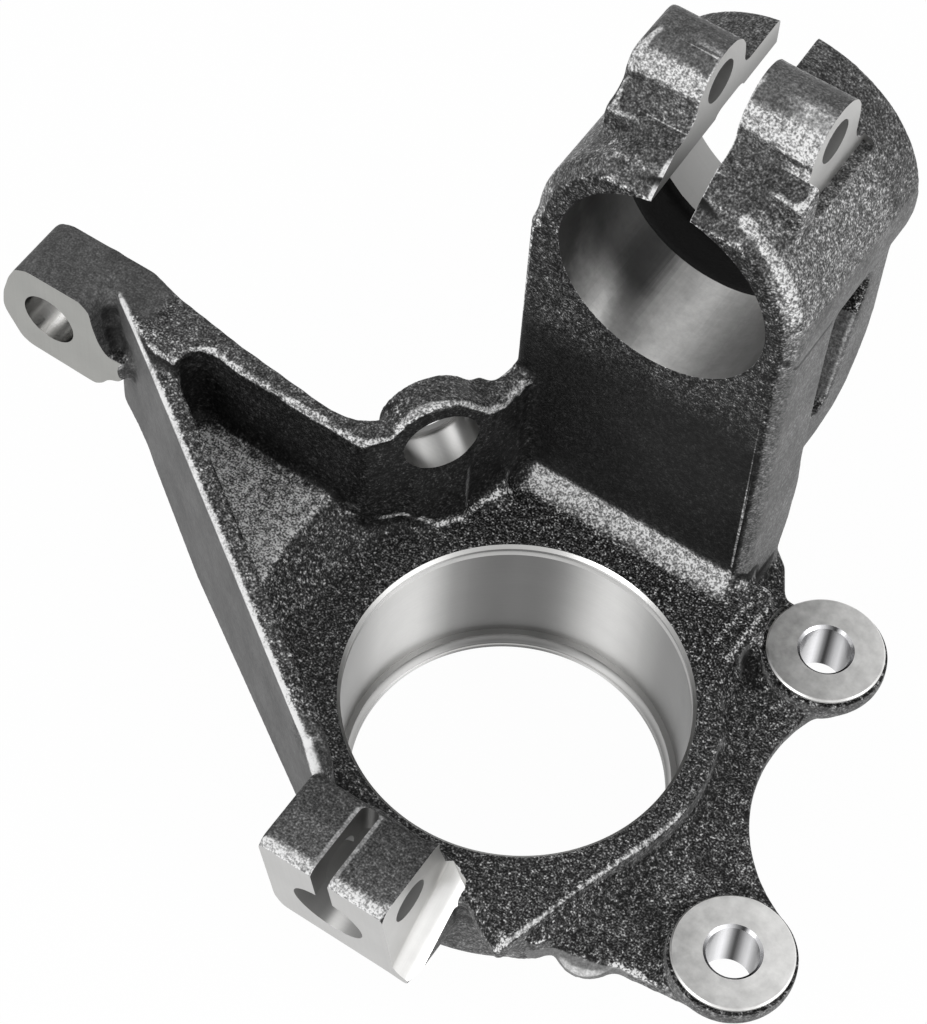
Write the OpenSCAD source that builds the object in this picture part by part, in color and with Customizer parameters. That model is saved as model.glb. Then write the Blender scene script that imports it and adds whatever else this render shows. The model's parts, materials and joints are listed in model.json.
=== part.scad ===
/* [Bearing seat] */
// Bore that takes the wheel bearing
bearing_d = 82; // [81:0.5:83]
// Depth of the hub ring from the inboard face to the outboard face
hub_depth = 44; // [42:1:48]
// Length of the bearing seat from the inboard face to the lip
seat_depth = 37.5; // [34:0.5:38]
// Wall of the hub ring outside the bearing bore
hub_wall = 7; // [6.5:0.1:8]
// Height of the lip that stops the bearing
lip_height = 2.5; // [1.5:0.5:3]
// Depth of the snap ring groove
groove_depth = 1.3; // [0.8:0.1:2]

/* [Strut clamp] */
// Bore that takes the strut tube
strut_d = 52.5; // [51:0.5:54]
// Distance of the steering axis from the bearing axis, towards the arm
steer_x = 5.5; // [4.5:0.5:6.5]
// Height of the strut bore axis above the inboard face
strut_z = 93; // [92:0.5:94]
// Distance of the near end of the strut bore from the bearing axis
strut_y = 55; // [54:0.5:56]
// Length of the strut bore
strut_len = 54.5; // [52:0.5:58]
// Wall of the strut clamp outside the bore
strut_wall = 7.6; // [7:0.2:8.4]
// Length of the machined land at each end of the strut bore, near end first
near_land = 27; // [24:1:30]
// Length of the land at the far end of the strut bore
far_land = 14; // [10:1:16]
// Depth of the cast relief between the lands
relief_depth = 1.6; // [1:0.2:2.4]
// Width of the slot in the strut clamp
strut_slot = 9.6; // [8:0.2:10.4]
// Hole for the pinch bolt of the strut clamp
strut_bolt_d = 10.5; // [9:0.5:11]
// Height of the pinch bolt above the strut bore axis
strut_bolt_rise = 38.6; // [38:0.2:40]

/* [Ball joint clamp] */
// Bore that takes the ball joint stud
stud_d = 18.6; // [17:0.2:19.4]
// Angle between the stud axis and the strut axis
stud_tilt = 10; // [9:0.5:12]
// Length of the stud bore
stud_len = 24; // [22:1:26]
// Height of the clamp block above the inboard face
block_z = 17; // [16:0.5:18]
// Width of the slot in the ball joint clamp
stud_slot = 4.6; // [4:0.2:6]
// Hole for the pinch bolt of the ball joint clamp
stud_bolt_d = 10.8; // [9:0.2:11]

/* [Steering arm] */
// Distance of the tie rod eye from the bearing axis, sideways
eye_x = 142.8; // [141:0.2:144]
// Height of the tie rod eye above the inboard face
eye_z = 22.6; // [21:0.2:24]
// Hole in the tie rod eye
eye_d = 14.6; // [12:0.2:16]
// Thickness of the tie rod eye
eye_len = 18; // [16:0.5:19]
// Height of the arm's upper flange above the inboard face
flange_z = 37; // [36:0.5:38]
// Height of the pocket floor above the inboard face
floor_z = 11; // [9:0.5:13]
// Thickness of the long rib along the arm
rib_w = 5.5; // [5:0.5:7]

/* [Sensor hole] */
// Hole for the speed sensor
sensor_d = 18.6; // [16:0.2:20]
// Height of the sensor hole above the inboard face
sensor_z = 30.5; // [29:0.5:32]
// Angle of the sensor hole about the bearing axis, from the arm's side
sensor_angle = 35.5; // [34:0.5:37]
// Outside of the boss round the sensor hole
sensor_boss_d = 28; // [27:0.5:30]

/* [Caliper ears] */
// Hole for a caliper bolt
ear_d = 12.2; // [10:0.2:14]
// Machined face round a caliper bolt hole
ear_face_d = 28.2; // [26:0.2:29]
// Depth of a caliper ear
ear_depth = 16.5; // [15:0.5:18]
// Thickness of the plate that carries the ears
plate_t = 4.5; // [4:0.5:6.5]

/* [Hidden] */
$fn = 96;
eps = 0.01;
far = 100;
iron = [0.13, 0.13, 0.14];

// Bearing seat
bearing_r = bearing_d / 2;
hub_r = bearing_r + hub_wall;
lip_r = bearing_r - lip_height;
rim_chamfer = 1.3;
groove_top = 1.7;
groove_h = 1.6;
clear_r = bearing_r + rim_chamfer + 1.7;
inner_fill = lip_r - 1;
platform_t = 6;
under_low = -13;
under_top = -4;
neck_left = [-34, -41];

// Strut clamp and its column
strut_r = strut_d / 2;
clamp_r = strut_r + strut_wall;
clamp_chamfer = 3.5;
strut_end = strut_y + strut_len;
lug_r = 10.4;
lug_y = strut_y + 27.5;
bolt_y = lug_y - 0.5;
bolt_z = strut_z + strut_bolt_rise;
crest_z = bolt_z + lug_r - 1.2;
lug_right = 16.6;
lug_left = -29.5;
lug_base = strut_z + 33;
spot_front = 10.5;
spot_back = 16;
spot_low = 15;
slot_x = -steer_x - 0.5;
slot_turn = 1.4;
column_left = -39.2;
column_right = 27.6;
column_back = 77;
column_low = -20;
foot_r = 4.5;
edge_cut = 3;
rib_right = 26;
rib_back = strut_end - 3.5;
groove_x = 19;

// Ball joint clamp
stud_face_y = 68.3;
stud_face_z = -6;
block_left = -22;
block_right = 11;
block_toe = 15;
block_back = 50.8;
block_foot = 46;
block_low = -25;
stud_bolt_y = 60.5;
stud_bolt_z = 6.5;
stud_slot_x = -7.9;
stud_slot_end = 53;
mill_right = 17.5;
mill_edge = 4.4;

// Steering arm
eye_face_y = 10.5;
eye_half = 14.2;
flange_back = eye_face_y + eye_len;
rib_start = [-eye_x + 23.1, eye_face_y + 2.7];
rib_end = [-27.6, -46.4];
rib_run = norm(rib_end - rib_start);
rib_turn = atan2(rib_end[1] - rib_start[1], rib_end[0] - rib_start[0]);
rib_low = -17;
rib_tail = 9;
web_low = -6;
dish_r = 53;
dish_run = 11;

// Sensor hole
sensor_face_r = 53.8;
sensor_r = sensor_boss_d / 2;
boss_len = 8;
boss_draft = 2;
boss_wall = 2;
boss_half = 12.4;
pad_half = 7;
pad_foot = 3.2;
sensor_back = 12;
sensor_run = 36;

// Caliper ears
ear_spots = [[52.5, 52.6], [75, -26.9]];
ear_r = ear_face_d / 2;
ear_step = 0.6;
ear_body_r = ear_r + 0.8;
ear_chamfer = 0.5;
plate_top = -7;
plate_low = plate_top - plate_t;
bay = [93.8, 26];
bay_r = 38.8;
shield_boss = [46.1, -39.9];
shield_boss_r = 7.9;
shield_boss_top = -8;

// Points of an arc from angle a0 to angle a1 round the point c
function arc(c, r, a0, a1, n = 8) =
    [for (i = [0:n]) let (a = a0 + (a1 - a0) * i / n) [c[0] + r * cos(a), c[1] + r * sin(a)]];

// Place of the tilted front face of the clamp block at the height z
function stud_face_at(z) = -stud_face_y - (z - stud_face_z) * tan(stud_tilt);

// Place on the flange behind the sensor boss, to one side of its axis and short of the boss's back
function sensor_spot(side, short) =
    let (r = sensor_face_r + boss_len - short, a = 180 - sensor_angle)
    [r * cos(a) + side * sin(a), r * sin(a) - side * cos(a)];

// Place on the arm, measured from the eye's axis and from the flange's back
function arm_spot(along, across) = [-eye_x + along, flange_back + across];

// Rounds the outward corners of a flat outline
module soft(r) {
    offset(r = r, $fn = 24)
        offset(delta = -r)
            children();
}

// Fills the inward corners of a flat outline with arcs
module filleted(r) {
    offset(r = -r, $fn = 24)
        offset(delta = r)
            children();
}

// Runs an outline in the plane of Y and Z from x0 to x1
module along_x(x0, x1) {
    translate([x0, 0, 0])
        rotate([90, 0, 90])
            linear_extrude(x1 - x0)
                children();
}

// Runs an outline in the plane of X and Z from y0 to y1
module along_y(y0, y1) {
    translate([0, y1, 0])
        rotate([90, 0, 0])
            linear_extrude(y1 - y0)
                children();
}

// Runs a flat outline from z0 up to z1
module along_z(z0, z1) {
    translate([0, 0, z0])
        linear_extrude(z1 - z0)
            children();
}

// Sets children at each caliper ear
module at_ears() {
    for (spot = ear_spots)
        translate([spot[0], spot[1], 0])
            children();
}

// Sets children on the sensor axis, with +Z pointing away from the bearing
module at_sensor() {
    rotate([0, 0, -sensor_angle])
        translate([-sensor_face_r, 0, sensor_z])
            rotate([0, -90, 0])
                children();
}

// Sets children on the stud axis, with +Z pointing into the clamp block
module at_stud() {
    translate([-steer_x, -stud_face_y, stud_face_z])
        rotate([-90 + stud_tilt, 0, 0])
            children();
}

// The ring that carries the bearing
module hub() {
    rotate_extrude($fn = 180)
        polygon([[inner_fill, -hub_depth], [hub_r - 3, -hub_depth], [hub_r - 1, -hub_depth + 3],
                 [hub_r, under_low], [hub_r, 0], [inner_fill, 0]]);
}

// The raised face from the hub to the clamp block, the rib and the column
module platform() {
    along_z(-platform_t, 0)
        soft(1.5)
            polygon([[45, 20], [46.6, -10], [43.6, -20], [41, -27.6], [38.1, -36.5], [32.4, -57],
                     [27, -54.5], [19, -49.5], [8, -49.5], [block_left, -block_foot], neck_left,
                     [-70, -18], [-70, 24], [-36, 52], [34, 60], [36.2, 47], [36.8, 41.5], [37, 30]]);
    along_z(under_low, under_top)
        polygon([[46, -12], [39.6, -45], [38, -48], [34.2, -50.8], [31, -52], [24, -51], [19, -47],
                 [block_left, -block_foot], neck_left, [-50, -30], [-50, 30], [-36, 56], [28, 60],
                 [36, 47], [40, 30]]);
}

// The neck that joins the clamp block to the hub
module neck() {
    along_z(block_low, under_top)
        polygon(concat([[block_left, -55], [block_toe - 0.4, -66]], arc([21, -53], 6.6, 190, 60),
                       [[28, -44], [30, -34], [0, 0], [-36, -30], [-31, -42], [block_left, -block_foot]]));
}

// The lower plate that carries the caliper ears
module ear_plate() {
    along_z(plate_low, plate_top)
        difference() {
            polygon([[20, 40], [24, 77], [31, 72], [36, 63.6], [42, 64], [52, 66], [61, 63], [65.5, 57],
                     [65, 45], bay, [80, -14.5], [84, -20], [84, -33], [77, -38.6], [67, -40],
                     [54, -41.8], [41, -45], [33, -46], [20, -40]]);
            translate(bay)
                circle(r = bay_r);
        }
    translate([shield_boss[0], shield_boss[1], plate_low])
        cylinder(h = shield_boss_top - plate_low, r = shield_boss_r);
}

// One caliper ear, with its machined face up
module ear() {
    rotate_extrude()
        polygon([[0, -ear_depth], [ear_body_r - 5.4, -ear_depth], [ear_body_r - 0.7, plate_top],
                 [ear_body_r, plate_top + 2], [ear_body_r, -1 - ear_step], [ear_r - ear_step, -1 - ear_step],
                 [ear_r - ear_step, -1], [ear_r, -1], [ear_r, 0], [0, 0]]);
}

// The column that carries the strut clamp, with a grooved rib behind it
module column() {
    intersection() {
        along_x(column_left, column_right)
            polygon(concat([[34, column_low], [44, -30], [60, -26], [73.5, -8], [column_back - 0.5, 5],
                            [column_back + 0.7, 20], [column_back - 1, 32], [column_back - 1, 58],
                            [column_back, strut_z], [strut_y, strut_z]],
                           arc([strut_y - foot_r, foot_r + 0.5], foot_r, 0, -90)));
        along_z(-far, strut_z)
            polygon([[column_left, 20], [column_left, 80], [column_right, 80],
                     [column_right, strut_y + edge_cut], [column_right - edge_cut, strut_y],
                     [column_right - edge_cut, strut_y - 4], [column_right, strut_y - 5], [column_right, 20]]);
    }
    difference() {
        along_x(column_left + 5, rib_right)
            polygon([[60, -26], [71, -10], [76, 5], [77, 20], [79, 28.8], [86, 28.6], [93, 30.4],
                     [98, 34.5], [101.5, 41.3], [104.2, 48.6], [rib_back - 0.5, 57], [rib_back, strut_z],
                     [60, strut_z]]);
        along_x(groove_x, column_right)
            soft(2)
                polygon([[column_back, strut_z + 5], [column_back, 44], [84.5, 38], [88, 41.5], [90.3, 48.4],
                         [92.3, 58], [94.5, 64.4], [97, 71], [99, strut_z + 5]]);
    }
}

// The strut clamp tube, cut back at the near end on each side of the slot
module strut_tube() {
    difference() {
        translate([-steer_x, strut_y, strut_z])
            rotate([-90, 0, 0])
                rotate_extrude()
                    polygon([[0, 0], [clamp_r - clamp_chamfer, 0], [clamp_r, clamp_chamfer],
                             [clamp_r, strut_len], [0, strut_len]]);
        along_x(-far, far)
            polygon([[strut_y - 1, strut_z + 25], [strut_y, strut_z + 26], [strut_y + 12, strut_z + 35],
                     [strut_y + 12, strut_z + 60], [strut_y - 1, strut_z + 60]]);
    }
}

// The two lugs that the pinch bolt of the strut clamp draws together
module strut_lugs() {
    intersection() {
        along_x(-far, lug_right)
            filleted(4)
                polygon(concat([[strut_y + 11, strut_z], [strut_y + 11, lug_base],
                                [strut_y + 18, lug_base + 2]],
                               arc([lug_y, crest_z - lug_r], lug_r, 170, 0),
                               [[lug_y + lug_r, lug_base - 3], [strut_end - 7.5, strut_z + 18],
                                [strut_end - 7.5, strut_z]]));
        along_y(strut_y, strut_end)
            soft(3)
                polygon([[lug_left - 2, strut_z], [lug_left - 1, strut_z + 26], [lug_left, crest_z - 3.8],
                         [lug_left + 2.5, crest_z + 0.5], [far, crest_z + 0.5], [far, strut_z]]);
    }
}

// The block that clamps the ball joint stud
module stud_block() {
    intersection() {
        along_x(block_left, block_toe)
            soft(2)
                polygon([[-30, block_low], [stud_face_at(block_low), block_low], [stud_face_at(block_z), block_z],
                         [-block_back, block_z], [0.5 - block_foot, 4], [2 - block_foot, 0], [-30, -1]]);
        along_y(-far, -30)
            polygon([[block_left + 2, block_low], [block_toe - 1.5, block_low], [block_toe, block_low + 3],
                     [block_toe, -1], [block_right, -1], [block_right, block_z], [block_left, block_z],
                     [block_left, block_low + 6]]);
    }
}

// The eye that takes the tie rod joint
module tie_rod_eye() {
    along_y(eye_face_y, flange_back)
        soft(1)
            translate([-eye_x, eye_z])
                polygon([[-eye_half, -4.2], [0.5 - eye_half, 1], [-11.7, 7.8], [-9.5, 12.4],
                         [-5.7, flange_z - eye_z], [10, flange_z - eye_z], [12.6, 12.2], [13.3, 7.4],
                         [14.8, 2.2], [17.5, -2], [21.8, -0.6], [22.4, -1.2], [20.7, -9], [17, -10.8],
                         [15.5, -13.4], [13, -15.6], [-6.6, -15], [-9.3, -13.7], [-13.6, -6.4]]);
}

// The arm's floor, dished down to the hub's inboard face
module arm_floor() {
    difference() {
        along_z(web_low, floor_z)
            polygon([arm_spot(10.8, -0.5), arm_spot(16.8, -11.5), rib_start, rib_end, [-20, -38], [-20, 30],
                     [-38, 52], [-57, 26], [-66, 20.5], arm_spot(47.8, -5.5), arm_spot(27.8, -2.5)]);
        cylinder(h = floor_z + eps, r1 = dish_r, r2 = dish_r + dish_run, $fn = 120);
    }
}

// The arm's upper flange, from the eye round the sensor boss to the column
module arm_flange() {
    along_z(web_low, flange_z)
        soft(1.5)
            filleted(3)
                polygon([arm_spot(7.8, 0), arm_spot(18.8, 0), arm_spot(27.8, -2.5), arm_spot(47.8, -5.5),
                         [-67, 20.2], [-61, 21.2], sensor_spot(-boss_half, boss_wall),
                         sensor_spot(boss_half - 0.4, 0), [-42, 47.5], [-40.8, 50.1], [-40, 55], [-39.5, 60],
                         [-34.3, 60], [-34.3, 50], [-36.4, 43], [-39, 38], [-52.3, 19], [-54.6, 16.3],
                         [-58, 15.6], arm_spot(50.8, -12.1), arm_spot(44.8, -11.1), arm_spot(41.2, -11.7),
                         arm_spot(39.2, -14.9), arm_spot(39.2, -19), arm_spot(32.8, -19.5), rib_start,
                         arm_spot(15.8, -11)]);
}

// The long rib from the eye to the clamp block, with its top falling towards the block
module arm_rib() {
    translate([rib_start[0], rib_start[1], 0])
        rotate([0, 0, rib_turn])
            translate([0, rib_w, 0])
                rotate([90, 0, 0])
                    linear_extrude(rib_w)
                        polygon([[-rib_tail, flange_z - 1], [0, flange_z - 1], [rib_run, block_z],
                                 [rib_run + 5, block_z - 6], [rib_run + 5, rib_low], [40, rib_low],
                                 [10, rib_low + 9], [-2, 0], [-rib_tail, 6]]);
}

// The boss round the sensor hole, with a drafted wall under it
module sensor_boss() {
    at_sensor()
        cylinder(h = boss_len, r1 = sensor_r, r2 = sensor_r - boss_draft);
    rotate([0, 0, -sensor_angle])
        translate([-sensor_face_r, 0, 0])
            along_y(-pad_half, pad_half)
                polygon([[pad_foot, -1], [-boss_wall, -1], [-boss_wall, sensor_z], [0, sensor_z]]);
}

// Bearing seat, lip, snap ring groove and the clear space above the inboard face
module hub_cuts() {
    rotate_extrude($fn = 180)
        polygon([[0, -hub_depth - 1], [lip_r + 1.5, -hub_depth - 1], [lip_r + 1.5, -hub_depth + 0.5],
                 [lip_r, -hub_depth + 2], [lip_r, -seat_depth - 1.5], [lip_r + 1, -seat_depth],
                 [bearing_r, -seat_depth], [bearing_r, -groove_top - groove_h],
                 [bearing_r + groove_depth, -groove_top - groove_h], [bearing_r + groove_depth, -groove_top],
                 [bearing_r, -groove_top], [bearing_r, -rim_chamfer], [bearing_r + rim_chamfer, 0],
                 [clear_r, 0], [clear_r, far], [0, far]]);
}

// Strut bore with a cast relief, its slot, the bolt hole and the milled face of the right lug
module strut_cuts() {
    translate([-steer_x, strut_y, strut_z])
        rotate([-90, 0, 0]) {
            translate([0, 0, -10])
                cylinder(h = strut_len + 20, r = strut_r, $fn = 120);
            translate([0, 0, near_land])
                cylinder(h = strut_len - near_land - far_land, r = strut_r + relief_depth, $fn = 120);
        }
    translate([slot_x, strut_y, strut_z])
        rotate([0, 0, slot_turn])
            translate([-strut_slot / 2, -20, 0])
                cube([strut_slot, strut_len + 40, far]);
    translate([-far, bolt_y, bolt_z])
        rotate([0, 90, 0])
            cylinder(h = 2 * far, d = strut_bolt_d, $fn = 48);
    translate([lug_right, bolt_y - spot_front, bolt_z - spot_low])
        cube([lug_r * 3, spot_front + spot_back, lug_r * 4]);
}

// Stud bore, its slot and its bolt hole
module stud_cuts() {
    at_stud()
        translate([0, 0, -8])
            cylinder(h = stud_len + 8, d = stud_d, $fn = 60);
    translate([stud_slot_x, -far, stud_face_z])
        cube([stud_slot, far - stud_slot_end, 40]);
    translate([stud_slot_x + stud_slot / 2, -stud_slot_end, stud_face_z])
        cylinder(h = 40, d = stud_slot, $fn = 24);
    translate([-40, -stud_bolt_y, stud_bolt_z])
        rotate([0, 90, 0])
            cylinder(h = 80, d = stud_bolt_d, $fn = 48);
    intersection() {
        along_x(block_right, mill_right + 2)
            polygon([[-66, block_low + 3], [-43.5, -1.5], [-43.5, 30], [-far, 30], [-far, block_low - 5],
                     [-70, block_low + 1]]);
        along_z(-far, far)
            polygon([[0, -43.7], [block_right, -43.9], [13.4, -44.6], [16.6, -46.1], [mill_right + 0.2, -48.3],
                     [mill_right + 1.1, -52.5], [mill_right + 1.1, -far], [0, -far]]);
    }
    translate([mill_right - 1, -49.6, 0])
        rotate([0, 0, -27])
            rotate([45, 0, 0])
                translate([-3, -mill_edge / 2, -mill_edge / 2])
                    cube([20, mill_edge, mill_edge]);
}

// Tie rod hole, sensor hole and caliper bolt holes
module small_holes() {
    translate([-eye_x, 0, eye_z])
        rotate([-90, 0, 0])
            cylinder(h = 60, d = eye_d, $fn = 48);
    at_sensor()
        translate([0, 0, -sensor_back])
            cylinder(h = sensor_run, d = sensor_d, $fn = 60);
    at_ears() {
        translate([0, 0, -ear_depth - 1])
            cylinder(h = ear_depth + 2, d = ear_d, $fn = 48);
        translate([0, 0, -ear_chamfer])
            cylinder(h = ear_chamfer + eps, d1 = ear_d, d2 = ear_d + 2 * ear_chamfer, $fn = 48);
    }
}

module knuckle() {
    color(iron)
        difference() {
            union() {
                hub();
                platform();
                neck();
                ear_plate();
                at_ears()
                    ear();
                column();
                strut_tube();
                strut_lugs();
                stud_block();
                tie_rod_eye();
                arm_floor();
                arm_flange();
                arm_rib();
                sensor_boss();
            }
            hub_cuts();
            strut_cuts();
            stud_cuts();
            small_holes();
        }
}

knuckle();
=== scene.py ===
"""A cast iron steering knuckle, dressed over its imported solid.

The casting is the node's own shape with its machined places grown back, rounded as a mould
rounds them, and then cut again with tools of the real sizes, so that cast skin and machined
metal meet in a crisp edge.
"""

import json
import logging
import math
from dataclasses import dataclass
from enum import Enum
from functools import cached_property, reduce
from typing import Callable, Dict, List, Optional, Sequence, Tuple, Union

import bpy
import numpy as np
from mathutils import Matrix, Vector
from mathutils.kdtree import KDTree

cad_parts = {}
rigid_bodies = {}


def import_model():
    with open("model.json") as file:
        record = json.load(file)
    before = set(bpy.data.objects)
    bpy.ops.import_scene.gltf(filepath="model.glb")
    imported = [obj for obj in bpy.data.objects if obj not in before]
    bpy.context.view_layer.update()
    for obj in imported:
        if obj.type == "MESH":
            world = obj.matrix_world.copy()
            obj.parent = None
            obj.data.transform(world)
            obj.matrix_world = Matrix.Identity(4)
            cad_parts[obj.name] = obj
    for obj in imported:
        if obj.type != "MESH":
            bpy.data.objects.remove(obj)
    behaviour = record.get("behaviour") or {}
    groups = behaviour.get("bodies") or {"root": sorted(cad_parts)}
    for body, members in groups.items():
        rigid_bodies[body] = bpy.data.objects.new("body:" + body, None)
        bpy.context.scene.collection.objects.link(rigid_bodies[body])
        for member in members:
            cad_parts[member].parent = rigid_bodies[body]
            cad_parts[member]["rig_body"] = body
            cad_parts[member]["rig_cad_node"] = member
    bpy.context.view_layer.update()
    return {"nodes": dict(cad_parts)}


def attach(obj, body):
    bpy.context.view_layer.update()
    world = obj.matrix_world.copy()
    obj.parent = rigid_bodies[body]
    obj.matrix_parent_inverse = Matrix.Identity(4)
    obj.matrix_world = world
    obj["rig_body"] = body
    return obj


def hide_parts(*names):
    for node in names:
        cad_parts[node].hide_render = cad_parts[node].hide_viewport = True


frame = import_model()

LOG = logging.getLogger("knuckle")
MM = 0.001
Thing = bpy.types.Object
Point = Tuple[float, float, float]
Profile = Sequence[Tuple[float, float]]

# Places of the machined features, in millimetres and degrees
EARS = ((52.5, 52.6), (75.0, -26.9))
STRUT_X, STRUT_Y, STRUT_Z = -5.5, 55.0, 93.0
PINCH_BOLT = (82, 131.6)
LUG_FACE = 16.6
SLOT_TURN = 1.4
STUD_FACE = Vector((-5.5, -68.3, -6))
STUD_WAY = Vector((0, 0.98481, 0.17365))
STUD_TILT = 10
BLOCK_BOLT = (-60.5, 6.5)
SLOT_LEFT = -7.9
SLOT_END = (-5.6, -53)
SENSOR_WAY = Vector((-0.81412, 0.58070, 0))
SENSOR_Z = 30.5
EYE_X, EYE_FACE, EYE_Z = -142.8, 10.5, 22.6
OUTBOARD = -44


def placed(at: Sequence[float], angle: float = 0, axis: str = "X") -> Matrix:
    """Gives the matrix of a place in millimetres and a turn in degrees about an axis."""
    return Matrix.Translation(Vector(at) * MM) @ Matrix.Rotation(math.radians(angle), 4, axis)


def on_stud(depth: float) -> Point:
    """Gives the place on the stud's axis at a depth from the clamp block's front."""
    return tuple(STUD_FACE + STUD_WAY * depth)


def on_sensor(reach: float) -> Point:
    """Gives the place on the sensor hole's axis at a distance from the bearing's axis."""
    return tuple(SENSOR_WAY * reach + Vector((0, 0, SENSOR_Z)))


class Finish(Enum):
    """The finishes of the knuckle, by the order of their material slots."""

    CAST = "cast_skin"
    SEAT = "turned_seat"
    STRUT = "bored_strut_seat"
    FACED = "faced_ears"
    MILLED = "milled_flats"
    EYE = "milled_eye"
    DRILLED = "drilled_ear_holes"
    DEEP = "drilled_cross_holes"
    SAWN = "sawn_slot"
    SLIT = "milled_strut_slot"
    REAMED = "reamed_sensor_hole"
    TAPER = "reamed_eye_hole"
    STUD = "reamed_stud_hole"


class Bench:
    """Plain modelling moves made with operators. Sizes are in millimetres."""

    @staticmethod
    def pick(thing: Thing) -> None:
        """Makes one object the only selected and the active one.

        Args:
            thing: The object to work on.
        """
        bpy.ops.object.select_all(action="DESELECT")
        thing.select_set(True)
        bpy.context.view_layer.objects.active = thing

    @staticmethod
    def settle(name: str) -> Thing:
        """Names the new primitive and puts its place into its mesh.

        Args:
            name: The object's name.

        Returns:
            The primitive that was just added.
        """
        made = bpy.context.object
        made.name = name
        bpy.ops.object.transform_apply(location=True, rotation=True, scale=True)
        return made

    @classmethod
    def put(cls, thing: Thing, place: Matrix) -> Thing:
        """Moves an object and puts its place into its mesh.

        Args:
            thing: The object to move.
            place: Its place and turn.

        Returns:
            The object.
        """
        thing.matrix_world = place
        cls.pick(thing)
        bpy.ops.object.transform_apply(location=True, rotation=True, scale=True)
        return thing

    @classmethod
    def choose(cls, thing: Thing, kind: str) -> None:
        """Clears what is selected in a mesh, ready to select parts of one kind.

        Args:
            thing: The object to work on.
            kind: FACE or EDGE.
        """
        cls.pick(thing)
        bpy.ops.object.mode_set(mode="EDIT")
        bpy.ops.mesh.select_all(action="DESELECT")
        bpy.ops.mesh.select_mode(type=kind)
        bpy.ops.object.mode_set(mode="OBJECT")

    @classmethod
    def rod(cls, name: str, start: Point, end: Point, radius: float, sides: int = 96) -> Thing:
        """Adds a round rod between two points.

        Args:
            name: The object's name.
            start: Centre of one end.
            end: Centre of the other end.
            radius: The rod's radius.
            sides: How many flats go round it.

        Returns:
            The rod.
        """
        a, b = Vector(start) * MM, Vector(end) * MM
        bpy.ops.object.select_all(action="DESELECT")
        bpy.ops.mesh.primitive_cylinder_add(
            vertices=sides,
            radius=radius * MM,
            depth=(b - a).length,
            location=(a + b) / 2,
            rotation=(b - a).to_track_quat("Z", "Y").to_euler(),
        )
        return cls.settle(name)

    @classmethod
    def block(cls, name: str, low: Point, high: Point, turn: Optional[Matrix] = None) -> Thing:
        """Adds a square block between two corners.

        Args:
            name: The object's name.
            low: Its lowest corner.
            high: Its highest corner.
            turn: A place and turn given to the block afterwards, if any.

        Returns:
            The block.
        """
        a, b = Vector(low) * MM, Vector(high) * MM
        bpy.ops.object.select_all(action="DESELECT")
        bpy.ops.mesh.primitive_cube_add(size=1, location=(a + b) / 2, scale=b - a)
        made = cls.settle(name)
        return made if turn is None else cls.put(made, turn)

    @classmethod
    def lathe(cls, name: str, profile: Profile, place: Matrix, steps: int = 128) -> Thing:
        """Spins a profile of radius and height pairs about its own upright axis.

        Args:
            name: The object's name.
            profile: Points from the axis, round the outside, back to the axis.
            place: Where the axis stands, as a matrix in metres.
            steps: How many flats go round it.

        Returns:
            The closed turned solid.
        """
        bpy.ops.object.select_all(action="DESELECT")
        bpy.ops.mesh.primitive_circle_add(vertices=len(profile), radius=MM)
        made = cls.settle(name)
        for vertex, (radius, height) in zip(made.data.vertices, profile):
            vertex.co = Vector((radius, 0, height)) * MM
        bpy.ops.object.mode_set(mode="EDIT")
        bpy.ops.mesh.select_all(action="SELECT")
        bpy.ops.mesh.spin(steps=steps, angle=2 * math.pi, center=(0, 0, 0), axis=(0, 0, 1))
        bpy.ops.mesh.select_all(action="SELECT")
        bpy.ops.mesh.remove_doubles(threshold=1e-6)
        bpy.ops.mesh.dissolve_degenerate(threshold=1e-7)
        bpy.ops.mesh.delete_loose()
        bpy.ops.mesh.select_all(action="SELECT")
        bpy.ops.mesh.normals_make_consistent(inside=False)
        bpy.ops.object.mode_set(mode="OBJECT")
        return cls.put(made, place)

    @classmethod
    def prism(cls, name: str, outline: Profile, low: float, high: float) -> Thing:
        """Raises a flat outline into an upright solid.

        Args:
            name: The object's name.
            outline: Points of X and Y, in order.
            low: Height of the bottom.
            high: Height of the top.

        Returns:
            The closed solid.
        """
        bpy.ops.object.select_all(action="DESELECT")
        bpy.ops.mesh.primitive_circle_add(vertices=len(outline), radius=MM, fill_type="NGON")
        made = cls.settle(name)
        for vertex, (x, y) in zip(made.data.vertices, outline):
            vertex.co = Vector((x, y, low)) * MM
        bpy.ops.object.mode_set(mode="EDIT")
        bpy.ops.mesh.select_all(action="SELECT")
        rise = (0, 0, (high - low) * MM)
        bpy.ops.mesh.extrude_region_move(TRANSFORM_OT_translate={"value": rise})
        bpy.ops.mesh.select_all(action="SELECT")
        bpy.ops.mesh.normals_make_consistent(inside=False)
        bpy.ops.object.mode_set(mode="OBJECT")
        return made

    @classmethod
    def grow(cls, thing: Thing, test: Callable[[Vector, Vector], bool], shift: Vector) -> int:
        """Extrudes the faces that pass a test.

        Args:
            thing: The object to change.
            test: Takes a face's centre in millimetres and its normal.
            shift: How far the faces move, in millimetres.

        Returns:
            How many faces moved.
        """
        cls.choose(thing, "FACE")
        chosen = 0
        for face in thing.data.polygons:
            face.select = test(face.center / MM, face.normal)
            chosen += face.select
        bpy.ops.object.mode_set(mode="EDIT")
        bpy.ops.mesh.extrude_region_move(TRANSFORM_OT_translate={"value": shift * MM})
        bpy.ops.object.mode_set(mode="OBJECT")
        return chosen

    @classmethod
    def join(cls, first: Thing, others: Sequence[Thing]) -> Thing:
        """Joins objects into the first one.

        Args:
            first: The object that stays.
            others: The objects that go into it.

        Returns:
            The joined object.
        """
        cls.pick(first)
        for other in others:
            other.select_set(True)
        bpy.ops.object.join()
        return first

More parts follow.
